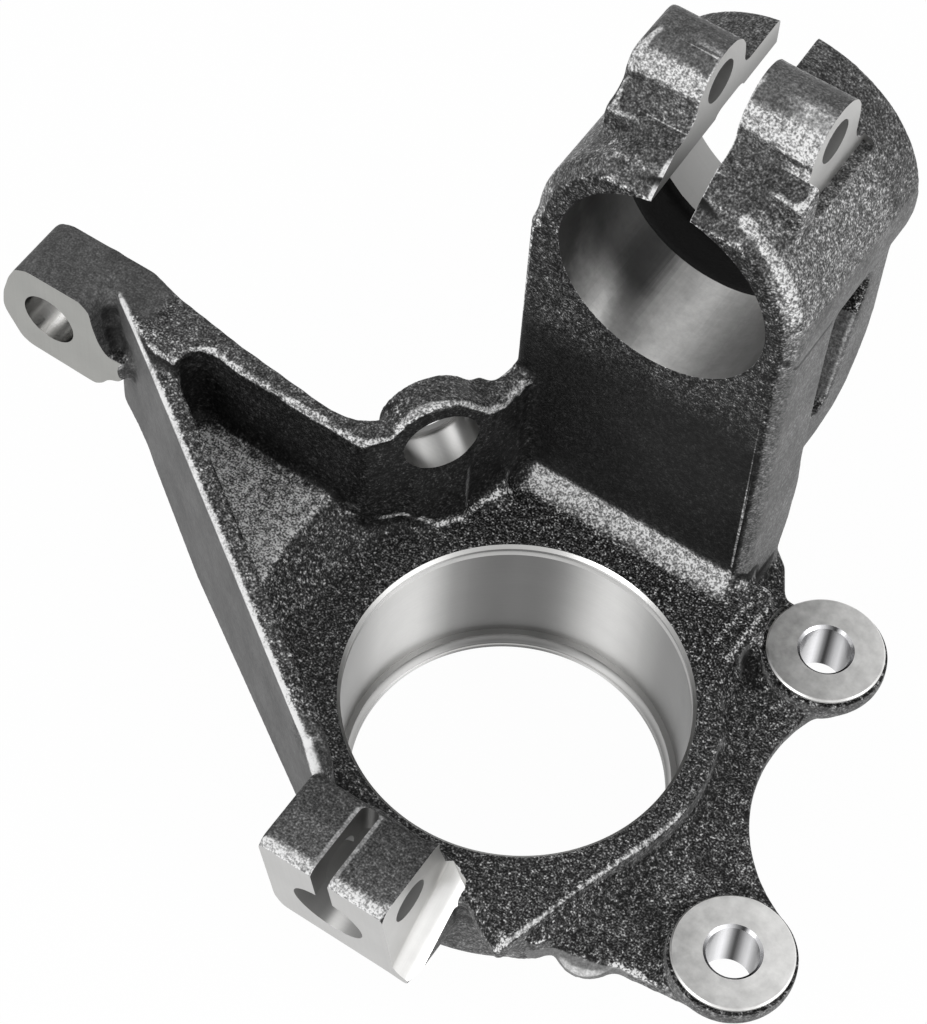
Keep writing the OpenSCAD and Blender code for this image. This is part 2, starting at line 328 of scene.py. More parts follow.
    @classmethod
    def apply(cls, thing: Thing, kind: str, **settings: object) -> None:
        """Adds a modifier and applies it.

        Args:
            thing: The object to change.
            kind: The modifier's type.
            settings: The modifier's own settings.
        """
        cls.pick(thing)
        modifier = thing.modifiers.new(kind.title(), kind)
        for name, value in settings.items():
            setattr(modifier, name, value)
        bpy.ops.object.modifier_apply(modifier=modifier.name)


@dataclass
class Casting:
    """The rounded casting before it is machined."""

    voxel: float = 0.72
    rounds: int = 4
    fillet: float = 1.5
    allowance: float = 1.6
    faces: int = 172000

    def copied(self, node: Thing) -> Thing:
        """Copies the node's mesh and merges its loose corners.

        Args:
            node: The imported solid.

        Returns:
            The new object.
        """
        made = node.copy()
        made.data = node.data.copy()
        made.name = "knuckle_casting"
        made.parent = None
        bpy.context.scene.collection.objects.link(made)
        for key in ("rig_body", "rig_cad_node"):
            if key in made:
                del made[key]
        made.data.materials.clear()
        Bench.pick(made)
        bpy.ops.object.mode_set(mode="EDIT")
        bpy.ops.mesh.select_all(action="SELECT")
        bpy.ops.mesh.remove_doubles(threshold=2e-6)
        bpy.ops.object.mode_set(mode="OBJECT")
        return made

    def grown(self, casting: Thing) -> None:
        """Grows the machined faces outwards, and closes both clamp slots.

        Args:
            casting: The copied solid.
        """
        tilt, turn = math.radians(STUD_TILT), math.radians(SLOT_TURN)
        front = Vector((0, -math.cos(tilt), -math.sin(tilt)))
        across = Vector((math.cos(turn), math.sin(turn), 0))
        out, more = SENSOR_WAY, self.allowance
        moves = {
            "clamp block front": (
                lambda c, n: n.dot(front) > 0.999 and abs((c - STUD_FACE).dot(front)) < 0.1,
                front * more,
            ),
            "eye face": (
                lambda c, n: n.y < -0.999 and abs(c.y - EYE_FACE) < 0.05 and c.x < -120,
                Vector((0, -more, 0)),
            ),
            "lug face": (
                lambda c, n: n.x > 0.999 and abs(c.x - LUG_FACE) < 0.05 and c.z > 116,
                Vector((3, 0, 0)),
            ),
            "strut slot": (
                lambda c, n: n.dot(across) > 0.9999 and -13 < c.x < -9 and c.z > 118 and c.y > 50,
                across * 9.7,
            ),
            "stud slot": (
                lambda c, n: n.x > 0.9999 and abs(c.x - SLOT_LEFT) < 0.05 and c.y < -52,
                Vector((4.7, 0, 0)),
            ),
            "outboard face": (
                lambda c, n: n.z < -0.999 and abs(c.z - OUTBOARD) < 0.05,
                Vector((0, 0, -1)),
            ),
            "boss face": (lambda c, n: n.dot(out) > 0.999 and c.dot(out) > 61, out * 2.6),
        }
        for name, (test, shift) in moves.items():
            LOG.info("grew %s: %d faces", name, Bench.grow(casting, test, shift))

    def plugs(self) -> List[Thing]:
        """Makes the solid stock that fills the bores and stands on the ears.

        Returns:
            The plugs.
        """
        strut = placed((STRUT_X, STRUT_Y, STRUT_Z), -90)
        more = self.allowance
        made = [
            Bench.rod("p_seat", (0, 0, -43.9), (0, 0, -0.02), 42.9),
            Bench.lathe("p_near", [(23, 0.2), (27.2, 0.2), (27.2, 27), (23, 27)], strut),
            Bench.lathe("p_far", [(23, 40.5), (27.2, 40.5), (27.2, 54.3), (23, 54.3)], strut),
            Bench.rod("p_pinch", (-29.4, *PINCH_BOLT), (19.4, *PINCH_BOLT), 5.8),
            Bench.rod("p_stud", on_stud(-more), on_stud(24.5), 9.8),
            Bench.rod("p_bolt", (-21.6, *BLOCK_BOLT), (14, *BLOCK_BOLT), 5.8),
            Bench.rod("p_slot_end", (*SLOT_END, -4), (*SLOT_END, 15), 2.8),
            Bench.rod("p_eye", (EYE_X, EYE_FACE - more, EYE_Z), (EYE_X, 28.4, EYE_Z), 7.8),
            Bench.rod("p_sensor", on_sensor(53.4), on_sensor(64.1), 9.8),
            Bench.block("p_end", (9, -68.6, -20), (16.5, -49.5, 16.8)),
        ]
        for x, y in EARS:
            made.append(Bench.rod("p_ear", (x, y, -16.4), (x, y, -2), 6.6))
            made.append(Bench.rod("p_face", (x, y, -3), (x, y, more), 14.6))
        return made

    def build(self, node: Thing) -> Thing:
        """Makes the rounded casting.

        Args:
            node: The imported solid.

        Returns:
            The casting, closed and with its machined places grown back.
        """
        casting = self.copied(node)
        self.grown(casting)
        Bench.join(casting, self.plugs())
        for push in (self.fillet, -self.fillet, 0.0):
            Bench.apply(
                casting, "REMESH", mode="VOXEL", voxel_size=self.voxel * MM, use_smooth_shade=True
            )
            if push:
                Bench.apply(casting, "DISPLACE", strength=push * MM, mid_level=0.0)
        Bench.apply(casting, "SMOOTH", factor=0.5, iterations=self.rounds)
        share = self.faces / (2 * len(casting.data.polygons))
        LOG.info("casting: %d faces after the remesh", len(casting.data.polygons))
        if share < 1:
            Bench.apply(casting, "DECIMATE", ratio=share, use_collapse_triangulate=True)
        return casting


@dataclass
class Tool:
    """A cutting tool, the finish that it leaves, and its foot's finish if that differs."""

    body: Thing
    finish: Finish
    foot: Optional[Finish] = None
    facing: Point = (0, 0, -1)

    def dress(self) -> None:
        """Gives the tool's faces the finishes that they leave."""
        data = self.body.data
        data.materials.clear()
        data.materials.append(bpy.data.materials[self.finish.value])
        if self.foot is not None:
            data.materials.append(bpy.data.materials[self.foot.value])
            for face in data.polygons:
                face.material_index = int(face.normal.dot(Vector(self.facing)) > 0.9)


@dataclass
class Machining:
    """The cutting tools, each at the size of the hole or face that it leaves."""

    solver: str = "EXACT"

    def turned(self) -> List[Tool]:
        """Makes the tools that leave the bearing seat, the clamp block's front and the eye's face.

        Returns:
            Each tool with its finish.
        """
        seat = [
            (0, -46), (40, -46), (40, -43.5), (38.5, -42), (38.5, -41), (38.8, -40.8),
            (38.8, -40.2), (38.5, -40), (38.5, -39), (39.5, -37.5), (41, -37.5), (41, -3.4),
            (41.8, -2.9), (41.8, -2.1), (41, -1.6), (41, -0.8), (41.8, 0), (44, 2.2), (0, 2.2),
        ]
        front = placed(STUD_FACE, STUD_TILT - 90)
        return [
            Tool(Bench.lathe("c_seat", seat, placed((0, 0, 0)), 180), Finish.SEAT),
            Tool(Bench.block("c_front", (-30, -60, -12), (40, 60, 0), front), Finish.MILLED),
            Tool(Bench.block("c_eye", (-175, 0, -5), (-121.5, EYE_FACE, 60)), Finish.EYE),
        ]

    def bored(self) -> List[Tool]:
        """Makes the tools of the sensor hole, strut seat, stud bore, eye hole and ear faces.

        Returns:
            Each tool with its finish.
        """
        sensor = Bench.rod("c_sensor", on_sensor(44), on_sensor(62.6), 9.3)
        strut = ((STRUT_X, 40, STRUT_Z), (STRUT_X, 120, STRUT_Z))
        eye = ((EYE_X, 5, EYE_Z), (EYE_X, 35, EYE_Z))
        made = [
            Tool(Bench.rod("c_strut", *strut, 26.25, 128), Finish.STRUT),
            Tool(Bench.rod("c_stud", on_stud(-8), on_stud(24), 9.3), Finish.STUD),
            Tool(Bench.rod("c_eye_hole", *eye, 7.3, 64), Finish.TAPER),
            Tool(sensor, Finish.REAMED, Finish.DEEP, tuple(SENSOR_WAY)),
        ]
        ear = [(0, 0), (13.7, 0), (14.1, -0.4), (14.1, -1.1), (14.9, -1.1), (14.9, 4), (0, 4)]
        for x, y in EARS:
            made.append(Tool(Bench.lathe("c_ear", ear, placed((x, y, 0)), 96), Finish.FACED))
        return made

    def slots(self) -> List[Tool]:
        """Makes the saws of both clamp slots, and the mills of the flat faces.

        Returns:
            Each tool with its finish.
        """
        strut = placed((-6, STRUT_Y, STRUT_Z), SLOT_TURN, "Z")
        boss = placed((0, 0, 0), 54.5, "Z")
        right = SLOT_LEFT + 4.6
        return [
            Tool(Bench.block("c_strut_slot", (-4.8, -20, 10), (4.8, 75, 60), strut), Finish.SLIT),
            Tool(Bench.block("c_stud_slot", (SLOT_LEFT, -90, -5.5), (right, -53, 30)), Finish.SAWN),
            Tool(
                Bench.block("c_lug", (LUG_FACE, 71.5, 116.6), (40, 98, 160)),
                Finish.MILLED,
                Finish.CAST,
            ),
            Tool(Bench.rod("c_outboard", (0, 0, -50), (0, 0, OUTBOARD), 60, 128), Finish.SEAT),
            Tool(Bench.block("c_boss", (-15, 64, 12), (15, 75, 49), boss), Finish.SEAT),
        ]

    def crossed(self) -> List[Tool]:
        """Makes the tools of the ears' steps and holes, the sensor hole's lip and the bolt holes.

        Returns:
            Each tool with its finish.
        """
        step = [(13.5, -1.7), (14.9, -1.7), (14.9, -1), (13.5, -1)]
        hole = [(0, -20), (6.1, -20), (6.1, -0.7), (6.8, 0), (7.1, 0.3), (0, 0.3)]
        made: List[Tool] = []
        for x, y in EARS:
            made.append(Tool(Bench.lathe("c_step", step, placed((x, y, 0)), 96), Finish.CAST))
            made.append(Tool(Bench.lathe("c_hole", hole, placed((x, y, 0)), 96), Finish.DRILLED))
        pinch = ((-60, *PINCH_BOLT), (40, *PINCH_BOLT))
        bolt = ((-40, *BLOCK_BOLT), (30, *BLOCK_BOLT))
        end = ((*SLOT_END, -5.5), (*SLOT_END, 30))
        return made + [
            Tool(Bench.rod("c_lip", on_sensor(62), on_sensor(70), 8.1), Finish.DEEP),
            Tool(Bench.rod("c_pinch", *pinch, 5.25, 64), Finish.DEEP),
            Tool(Bench.rod("c_bolt", *bolt, 5.4, 64), Finish.DEEP),
            Tool(Bench.rod("c_slot_end", *end, 2.3, 32), Finish.SAWN),
        ]

    def end_mill(self) -> List[Tool]:
        """Makes the mill that leaves the clamp block's end and the hollow strip beside it.

        Returns:
            The tool with its finish.
        """
        low, high = Vector((11, -70, -25.7)), Vector((11, -40, 1.6))
        run = (high - low).normalized()
        lean = placed(low, math.degrees(math.atan2(run.z, run.y)))
        made = Bench.block("c_end", (0, -14, 0), (6.5, 46, 50), lean)
        Bench.choose(made, "EDGE")
        for edge in made.data.edges:
            ends = [made.data.vertices[i].co / MM for i in edge.vertices]
            foot = max((end - low).cross(run).length for end in ends)
            edge.select = foot < 0.5
        bpy.ops.object.mode_set(mode="EDIT")
        bpy.ops.mesh.bevel(offset=4.5 * MM, segments=10, affect="EDGES")
        bpy.ops.object.mode_set(mode="OBJECT")
        back = [
            (0, -43.7), (0, -100), (18.6, -100), (18.6, -52.5), (17.7, -48.3), (16.6, -46.1),
            (13.4, -44.6), (11, -43.9),
        ]
        plan = Bench.prism("c_plan", back, -60, 60)
        Bench.apply(made, "BOOLEAN", operation="INTERSECT", solver=self.solver, object=plan)
        bpy.data.objects.remove(plan)
        return [Tool(made, Finish.MILLED)]

    def cut(self, casting: Thing) -> None:
        """Cuts the casting with every tool.

        Args:
            casting: The rounded casting.
        """
        how = {"operation": "DIFFERENCE", "solver": self.solver, "material_mode": "TRANSFER"}
        for tools in (self.turned(), self.bored(), self.slots(), self.crossed(), self.end_mill()):
            for tool in tools:
                tool.dress()
            cutter = Bench.join(tools[0].body, [tool.body for tool in tools[1:]])
            Bench.apply(casting, "BOOLEAN", object=cutter, **how)
            bpy.data.objects.remove(cutter)
            LOG.info("cut: %d faces", len(casting.data.polygons))


@dataclass
class Crests:
    """How far each point of the skin stands proud, so that raised edges get a painted highlight and
    concave corners a painted shade.
    """

    rounds: int = 7
    reach: float = 1.2
    rim: float = 0.45

    def measure(self, casting: Thing) -> Tuple[KDTree, np.ndarray]:
        """Measures the casting against a smoothed copy of its own points.

        Args:
            casting: The rounded casting.

        Returns:
            A tree of its points, and how far each stands proud in millimetres.
        """
        data = casting.data
        count = len(data.vertices)
        start, normals = np.empty(count * 3), np.empty(count * 3)
        ends = np.empty(len(data.edges) * 2, dtype=np.int64)
        data.vertices.foreach_get("co", start)
        data.vertices.foreach_get("normal", normals)
        data.edges.foreach_get("vertices", ends)
        start, normals, ends = start.reshape(-1, 3), normals.reshape(-1, 3), ends.reshape(-1, 2)
        near = np.bincount(ends.ravel(), minlength=count).clip(min=1)[:, None]
        soft = start
        a, b = ends[:, 0], ends[:, 1]
        for _ in range(self.rounds):
            sums = [
                np.bincount(a, soft[b, k], count) + np.bincount(b, soft[a, k], count)
                for k in range(3)
            ]
            soft = np.stack(sums, axis=1) / near
        tree = KDTree(count)
        for number, point in enumerate(start):
            tree.insert(point, number)
        tree.balance()
        return tree, ((start - soft) * normals).sum(axis=1) / MM

    def mark(self, piece: Thing, tree: KDTree, proud: np.ndarray) -> None:
        """Writes the measure on the machined piece.

        Args:
            piece: The machined casting.
            tree: The casting's points.
            proud: How far each of them stands proud.
        """
        data = piece.data
        found = [tree.find(vertex.co) for vertex in data.vertices]
        reach = self.reach * MM
        values = np.array([proud[number] if gap < reach else 0.0 for _, number, gap in found])
        cast, cut = np.zeros((2, len(values)), dtype=bool)
        for face in data.polygons:
            side = cut if face.material_index else cast
            side[list(face.vertices)] = True
        # Edges between cast skin and cut metal count as proud, so they get a painted highlight
        # where they face the light.
        values[cast & cut] = self.rim
        data.attributes.new("proud", "FLOAT", "POINT").data.foreach_set("value", values)


class Wire:
    """A shader socket that Python's operators work on."""

    def __init__(self, sheet: "Sheet", socket: bpy.types.NodeSocket) -> None:
        """Keeps an output socket and the sheet that it belongs to."""
        self.sheet, self.socket = sheet, socket

    def math(self, operation: str, *others: "Value") -> "Wire":
        """Adds a Math node that takes this socket and then the others."""
        return self.sheet.node("Math", {"operation": operation}, dict(enumerate((self, *others))))

    def __add__(self, other: "Value") -> "Wire":
        """Adds."""
        return self.math("ADD", other)

    __radd__ = __add__

    def __mul__(self, other: "Value") -> "Wire":
        """Multiplies."""
        return self.math("MULTIPLY", other)

    __rmul__ = __mul__

    def __sub__(self, other: "Value") -> "Wire":
        """Takes another value away."""
        return self.math("SUBTRACT", other)

    def __rsub__(self, other: "Value") -> "Wire":
        """Takes this value from another."""
        return self.sheet.node("Math", {"operation": "SUBTRACT"}, {0: other, 1: self})

    def __truediv__(self, other: "Value") -> "Wire":
        """Divides."""
        return self.math("DIVIDE", other)

    def __pow__(self, other: "Value") -> "Wire":
        """Raises to a power."""
        return self.math("POWER", other)

    def ramp(self, low: float, high: float) -> "Wire":
        """Runs smoothly from 0 at one value to 1 at another.

        Args:
            low: Where it is 0.
            high: Where it is 1, which may be the smaller of the two.

        Returns:
            The ramp, which stays level beyond both.
        """
        return self.sheet.node(
            "MapRange",
            {"interpolation_type": "SMOOTHSTEP"},
            {"Value": self, "From Min": low, "From Max": high},
        )


Value = Union[Wire, float, int, Tuple[float, ...]]
Inputs = Dict[Union[int, str], Value]


class Sheet:
    """The nodes of one material, or of the room."""

    def __init__(
        self, owner: Union[bpy.types.Material, bpy.types.World], end: str = "OutputMaterial"
    ) -> None:
        """Clears the owner's nodes and adds its output.

        Args:
            owner: The material or the world.
            end: The output's type after ShaderNode.
        """
        owner.use_nodes = True
        self.owner = owner
        self.tree = owner.node_tree
        self.tree.nodes.clear()
        self.output = self.tree.nodes.new("ShaderNode" + end)

    @classmethod
    def of(cls, name: str) -> "Sheet":
        """Makes a new material and gives its nodes."""
        return cls(bpy.data.materials.new(name))

    def end(self, shader: Wire) -> None:
        """Ends the nodes in one shader."""
        self.tree.links.new(shader.socket, self.output.inputs["Surface"])

    def node(
        self, kind: str, settings: Dict[str, object], inputs: Inputs, out: Union[int, str] = 0
    ) -> Wire:
        """Adds a node.

        Args:
            kind: The node's type after ShaderNode.
            settings: The node's own settings, which are set first.
            inputs: Values or wires by socket.
            out: The output that is wanted.

        Returns:
            That output as a wire.
        """
        made = self.tree.nodes.new("ShaderNode" + kind)
        for name, value in settings.items():
            if name == "stops":
                self.fill(made.color_ramp, value)
            else:
                setattr(made, name, value)
        for key, value in inputs.items():
            if isinstance(value, Wire):
                self.tree.links.new(value.socket, made.inputs[key])
            else:
                made.inputs[key].default_value = value
        return Wire(self, made.outputs[out])

    @staticmethod
    def fill(ramp: bpy.types.ColorRamp, stops: Profile) -> None:
        """Sets a ramp's stops.

        Args:
            ramp: The ramp.
            stops: Pairs of a place from 0 to 1 and its level.
        """
        ramp.interpolation = "CARDINAL"
        for number, (place, level) in enumerate(stops):
            stop = ramp.elements[number] if number < 2 else ramp.elements.new(place)
            stop.position = place
            stop.color = (level, level, level, 1)

    @cached_property
    def place(self) -> Wire:
        """Gives the place on the object, in metres."""
        return self.node("TexCoord", {}, {}, "Object")

    @cached_property
    def normal(self) -> Wire:
        """Gives the surface's own normal."""
        return self.node("NewGeometry", {}, {}, "Normal")

    @cached_property
    def parts(self) -> Tuple[Wire, Wire, Wire]:
        """Gives X, Y and Z of the place on the object."""
        return self.split(self.place)

    def split(self, vector: Wire) -> Tuple[Wire, Wire, Wire]:
        """Splits a vector into X, Y and Z."""
        made = self.node("SeparateXYZ", {}, {0: vector}).socket.node
        return tuple(Wire(self, out) for out in made.outputs)

    def noise(
        self, size: float, detail: float, rough: float, where: Optional[Wire] = None
    ) -> Wire:
        """Gives noise with grains of about one size.

        Args:
            size: The size of the grains, in millimetres.
            detail: How many finer layers are added.
            rough: How strong the finer layers are.
            where: What it is read at, or the place on the object.

        Returns:
            The noise, from 0 to 1.
        """
        return self.node(
            "TexNoise",
            {},
            {
                "Vector": where or self.place,
                "Scale": 1 / (size * MM),
                "Detail": detail,
                "Roughness": rough,
            },
        )

    def dot(self, vector: Wire, direction: Point) -> Wire:
        """Gives the dot product of a vector and a fixed direction."""
        settings = {"operation": "DOT_PRODUCT"}
        return self.node("VectorMath", settings, {0: vector, 1: direction}, "Value")

    def faces(self, direction: Point) -> Wire:
        """Gives how far the surface faces a direction, from -1 to 1."""
        return self.dot(self.normal, direction)

    def distance(self, point: Point, where: Optional[Wire] = None) -> Wire:
        """Gives the distance in metres to a point in millimetres, from the place or another."""
        ends = {0: where or self.place, 1: tuple(c * MM for c in point)}
        return self.node("VectorMath", {"operation": "DISTANCE"}, ends, "Value")

    def curve(self, wire: Wire, stops: Profile) -> Wire:
        """Follows a smooth curve of levels, for values from -1 to 1."""
        shifted = [(at / 2 + 0.5, level) for at, level in stops]
        return self.node("ValToRGB", {"stops": shifted}, {0: wire * 0.5 + 0.5})

    def grey(self, level: Wire, tint: Tuple[float, float, float] = (1, 1, 1)) -> Wire:
        """Makes a grey of one brightness, tinted by the share of each colour."""
        return self.node("CombineColor", {}, {i: level * share for i, share in enumerate(tint)})

    def bump(self, height: Wire, depth: float, strength: float) -> Wire:
        """Turns a height from 0 to 1 into a normal, with the depth in millimetres."""
        inputs = {"Height": height, "Distance": depth * MM, "Strength": strength}
        return self.node("Bump", {}, inputs, "Normal")

    def shade(
        self, colour: Wire, rough: Wire, metallic: float, normal: Wire, **plain: float
    ) -> None:
        """Ends the material in one shader.

        Args:
            colour: The base colour.
            rough: The roughness.
            metallic: How much of it is bare metal.
            normal: The normal.
            plain: Other sockets, by name, with plain numbers.
        """
        inputs = {"Base Color": colour, "Roughness": rough, "Metallic": metallic, "Normal": normal}
        inputs.update((name.replace("_", " "), number) for name, number in plain.items())
        self.end(self.node("BsdfPrincipled", {}, inputs))


@dataclass(frozen=True)
class PaintedHighlightLine:
    """A line along the mould's surface with a painted highlight, brighter than the skin beside it.
    """

    points: Tuple[Point, ...]
    level: float = 0.2
    wide: float = 1.2
    grit: float = 1.0


@dataclass(frozen=True)
class Patch:
    """A stretch of the cast skin with a tone of its own; where it follows a facing, the tone is
    mostly painted light and shade.

    It comes in where its surface turns towards its facing, from one turned value to the other.
    """

    low: Point
    high: Point
    level: float
    grit: float
    facing: Point = (0, 0, 1)
    turned: Tuple[float, float] = (-2, -1.5)
    soft: float = 3


@dataclass(frozen=True)
class CastSkin:
    """Dark coated iron with the grain of its mould, with much of its light and shade painted in:
    lighter sides, dark recesses and bright edges. A later patch covers an earlier one.
    """

    level: float = 0.040
    grit: float = 1.3
    grain: float = 0.5
    # Painted light: the level of the sides, lighter than the tops
    wall: float = 0.11
    relief: float = 29.5
    # Levels of the painted shade in concave corners and of the painted highlights on raised edges
    # and the strut bore's mouth
    crease_shade: float = 0.010
    edge_highlight: float = 0.55
    mouth: float = 0.22
    # Level of the painted shadow in the relief between the strut seats
    relief_shadow_level: float = 0.0012
    # Where the painted shade of concave corners stays off the foot's painted highlight
    foot: Patch = Patch((-30, 25, 0), (40, 62, 15), 0, 0, (0, -0.71, 0.71), (0.6, 0.85))
    patches: Tuple[Patch, ...] = (
        # Strut tube, then its lugs; the bands on faces turned to the front and up are painted shade
        # and painted highlights
        Patch((-60, 56, 88), (60, 98, 150), 0.165, 0.75, soft=6),
        Patch((-60, 98, 88), (60, 118, 160), 0.085, 0.75),
        Patch((-34, 50, 106), (17, 96, 134), 0.065, 0.7, (0, -0.8, 0.6), (0.2, 0.6)),
        Patch((-34, 60, 119.5), (17, 90, 122), 0.16, 0.8, (0, -0.8, 0.6), (0.2, 0.6), 1.5),
        Patch((-34, 60, 134), (17, 90, 137.8), 0.36, 0.6, (0, -0.75, 0.66), (0.2, 0.6), 1.5),
        Patch((-34, 60, 139), (17, 98, 160), 0.10, 0.35, soft=1.2),
        # Painted shade on the column's front, darker low down, a darker tone on the ring before it,
        # then a painted highlight on the foot where it meets the ring
        Patch((-60, 45, 30), (60, 62, 118), 0.026, 1.15, (0, -1, 0), (0.7, 0.9), 8),
        Patch((-60, 30, 10), (60, 64, 50), 0.009, 0.6, (0, -1, 0), (0.7, 0.95), 16),
        Patch((-50, 30, -1), (50, 48, 1.5), 0.028, 1.6),
        Patch((-30, 25, 1), (40, 62, 14), 0.42, 0.75, (0, -0.71, 0.71), (0.7, 0.92)),
        # Column's right side, painted lighter as if lit from the right, then the rib behind it,
        # with a strip of painted shade
        Patch((22, 40, -30), (60, 115, 97), 0.135, 0.3, (1, 0, 0), (0.6, 0.85)),
        Patch((20, 86, 34), (34, 102, 64), 0.17, 0.3, (0, -1, 0), (0.5, 0.8), 1),
        Patch((20, 86, 65), (34, 102, 74), 0.03, 1.6, (0, -1, 0), (0.5, 0.8), 1),
        # Arm's pocket, flange, eye and rib; the pocket's walls are in painted shade
        Patch((-118, -35, 12), (-42, 48, 36), 0.010, 0.8, (0.5, -0.86, 0), (0.1, 0.4)),
        Patch((-112, -35, 4), (-46, 30, 14), 0.30, 1.0, (0, 0, 1), (0.7, 0.9)),
        Patch((-112, 0, 35), (-34, 65, 60), 0.065, 0.85, (0, 0, 1), (0.6, 0.85)),
        Patch((-170, 4, 22), (-118, 44, 52), 0.08, 0.3, soft=5),
        Patch((-124, -32, 14), (-30, 14, 37), 0.07, 1.0, (0, 0, 1), (0.7, 0.9)),
        Patch((-126, -64, -46), (-22, 16, 34), 0.085, 0.15, (-0.5433, -0.8395, 0), (0.9, 0.97)),
        # Painted shade on the walls under the sensor boss
        Patch((-62, 6, 2.5), (-24, 62, 42), 0.011, 0.9, (0.814, -0.581, 0), (0.75, 0.92), 1.5),
        Patch((-60, 12, -1), (-30, 45, 42), 0.011, 0.9, (-0.58, -0.81, 0), (0.7, 0.9), 1.5),
        # Clamp block, then a painted highlight along its front edge
        Patch((-32, -92, 12), (12, -42, 32), 0.056, 0.55),
        Patch((-32, -92, 8), (12, -62, 32), 0.5, 0.5, (0, -0.8, 0.6), (0.5, 0.85)),
        # Edge of the lower plate
        Patch((36, -52, -46), (57, -30, -7.7), 0.17, 0.15, soft=0.3),
    )
    painted_highlight_lines: Tuple[PaintedHighlightLine, ...] = (
        # Painted highlights along the edge of the raised face round the ring, then along the lines
        # by the upper ear
        PaintedHighlightLine(((32.5, -54.8, 0), (34.9, -46.5, 0), (37.5, -39.2, 0), (40.4, -29.3, 0),
               (44.2, -18.2, 0)), 0.7, 1.1, 0.4),
        PaintedHighlightLine(((44.2, -18.2, 0), (46.5, -9, 0), (47.6, -3, 0)), 0.45, 1.1, 0.6),
        PaintedHighlightLine(((30.1, 39.7, 0), (31.3, 54.1, 0)), 0.13, 1.0),
        PaintedHighlightLine(((34.9, 36.4, 0), (35.3, 54, 0)), 0.2, 1.0),
        # Painted highlights along the top of the long rib, and wider at the bright spot at its end
        PaintedHighlightLine(((-125.3, 16.7, 37), (-27.2, -46.5, 16.5)), 0.85, 1.5, 0.3),
        PaintedHighlightLine(((-27.2, -46.5, 16.5), (-23.5, -48.5, 11.8)), 0.95, 2.6, 0.3),
        # Painted highlight along the foot of the wall under the sensor boss
        PaintedHighlightLine(((-58.7, 14.9, 7.6), (-50.8, 21.1, 4.7), (-47.2, 25, 4.3), (-44.4, 25.7, 3.8),
               (-41.3, 28.5, 0.3)), 0.3, 1.1),
        PaintedHighlightLine(((-41.3, 28.5, 0.3), (-37.9, 33.4, 0.3), (-35.8, 40.6, 1.2), (-33, 44.5, 2.4),
               (-30.8, 49.8, 0.3)), 0.3, 1.2),
        # Painted highlights along the rim of the sensor boss, on to the column
        PaintedHighlightLine(((-50.7, 22.7, 38.9), (-49.5, 27, 42), (-46.5, 30.3, 43.8), (-41.4, 34.7, 43.8)),
              0.5, 1.2, 0.7),
        PaintedHighlightLine(((-41.4, 34.7, 43.8), (-38.6, 38.5, 39.4), (-36.8, 41, 36.7)), 0.5, 1.2, 0.7),
        PaintedHighlightLine(((-36.8, 41, 36.7), (-35.6, 45.7, 34.8), (-34.8, 48.5, 37), (-35, 51.8, 37)),
              0.5, 1.6, 0.7),
        # Painted highlights along the rims of the clamp block's slot
        PaintedHighlightLine(((-8.3, -69.5, 17), (-8.3, -53.2, 16.9), (-5.6, -50.2, 16.9), (-3, -51.8, 16.9)),
              0.32, 0.9, 0.5),
        PaintedHighlightLine(((-2.9, -69.5, 17), (-2.9, -53, 17)), 0.35, 0.8, 0.5),
        # Painted highlights along the rim of the strut tube, then along the edge of its slot
        PaintedHighlightLine(((9.5, 59.4, 122.3), (18.8, 58.3, 116.3), (23.3, 58.1, 110), (25.8, 57.6, 103)),
              0.45, 2.2),
        PaintedHighlightLine(((-11.2, 55.5, 119.5), (-11.3, 61.3, 123.7), (-11.3, 68, 126)), 0.8, 1.0, 0.3),
    )

    def line(self, painted_line: PaintedHighlightLine) -> Wire:
        """Marks a line of painted highlight along the mould's surface.

        It is worked out with single numbers, because the renderer can hold only so many values
        of one material at a time and shows it black when there are more.

        Args:
            painted_line: The line.

        Returns:
            1 on the line and 0 away from it.
        """
        nearest: Optional[Wire] = None
        for start, end in zip(painted_line.points, painted_line.points[1:]):
            a, b = Vector(start), Vector(end)
            middle, half, way = (a + b) / 2, (b - a).length / 2, (b - a).normalized()
            gap = self.sheet.distance(tuple(middle))
            along = self.sheet.dot(self.sheet.place, tuple(way)) - middle.dot(way) * MM
            over = (along.math("ABSOLUTE") - half * MM).math("MAXIMUM", 0.0)
            away = over.math("MULTIPLY_ADD", over, gap * gap - along * along)
            nearest = away if nearest is None else nearest.math("MINIMUM", away)
        wide = painted_line.wide * MM
        return (nearest.math("MAXIMUM", 0.0) ** 0.5).ramp(wide, wide * 0.4)

    def inside(self, patch: Patch) -> Wire:
        """Marks a patch of the surface with soft sides.

        Args:
            patch: The patch.

        Returns:
            1 inside the patch and 0 outside.
        """
        low, high = Vector(patch.low) * MM, Vector(patch.high) * MM
        gap = self.sheet.place
        for operation, inputs in (
            ("SUBTRACT", {1: tuple((low + high) / 2)}),
            ("ABSOLUTE", {}),
            ("SUBTRACT", {1: tuple((high - low) / 2)}),
        ):
            gap = self.sheet.node("VectorMath", {"operation": operation}, {0: gap, **inputs})
        x, y, z = self.sheet.split(gap)
        box = x.math("MAXIMUM", y).math("MAXIMUM", z).ramp(patch.soft * MM, 0)
        return box * self.sheet.faces(patch.facing).ramp(*patch.turned)

    @cached_property
    def sheet(self) -> Sheet:
        """Makes the material and gives its nodes."""
        return Sheet.of(Finish.CAST.value)

    @staticmethod
    def toned(tone: Value, level: float, share: Wire) -> Wire:
        """Moves a tone, which is a logarithm, towards a level."""
        return tone + (math.log(level) - tone) * share

